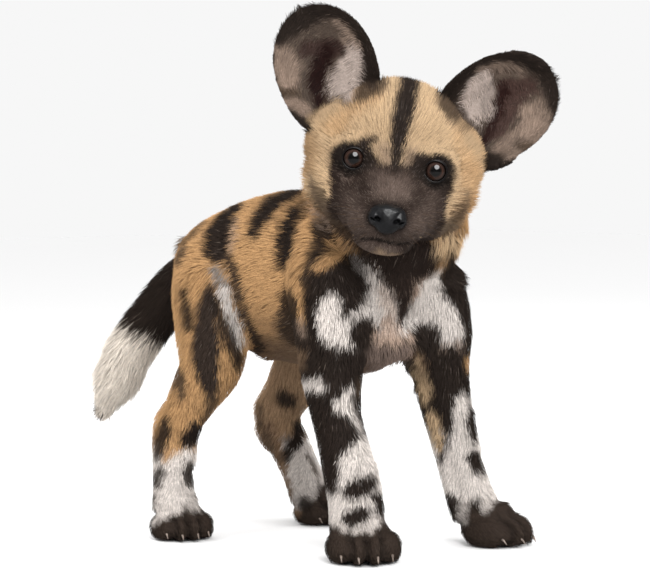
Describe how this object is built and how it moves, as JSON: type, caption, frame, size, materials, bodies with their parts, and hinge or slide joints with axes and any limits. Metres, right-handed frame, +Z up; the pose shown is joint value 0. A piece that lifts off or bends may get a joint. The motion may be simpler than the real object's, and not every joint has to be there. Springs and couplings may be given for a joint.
{
  "type": "african wild dog pup",
  "caption": "Life-size standing african wild dog pup, head turned to its right, large round ears, short blotched coat and bushy pale-tipped tail.",
  "frame": {"origin": "on the floor, under the middle of the whole model", "axes": "+Z up, -Y the way the body faces, +X to the pup's own left"},
  "size_m": [0.215, 0.3976, 0.4121],
  "materials": {
    "coat": "short soft fur in tan, black and white blotches",
    "dark_coat": "short soft fur, nearly black",
    "eye": "wet, clear and glossy over a dark brown iris",
    "nose": "moist pebbled bare skin",
    "claw": "smooth horn"
  },
  "bodies": {
    "root": {"head": "coat", "neck": "coat", "torso": "coat", "tail": "coat", "leg_front_right": "coat", "leg_front_left": "coat", "leg_hind_right": "coat", "leg_hind_left": "coat", "paw_front_right": "dark_coat", "paw_front_left": "dark_coat", "paw_hind_right": "dark_coat", "paw_hind_left": "dark_coat", "ear_right": "dark_coat", "ear_left": "dark_coat", "eye_right": "eye", "eye_left": "eye", "nose": "nose", "claw_front_right_1": "claw", "claw_front_right_2": "claw", "claw_front_right_3": "claw", "claw_front_right_4": "claw", "claw_front_left_1": "claw", "claw_front_left_2": "claw", "claw_front_left_3": "claw", "claw_front_left_4": "claw", "claw_hind_right_1": "claw", "claw_hind_right_2": "claw", "claw_hind_right_3": "claw", "claw_hind_right_4": "claw", "claw_hind_left_1": "claw", "claw_hind_left_2": "claw", "claw_hind_left_3": "claw", "claw_hind_left_4": "claw"}
  },
  "joints": []
}
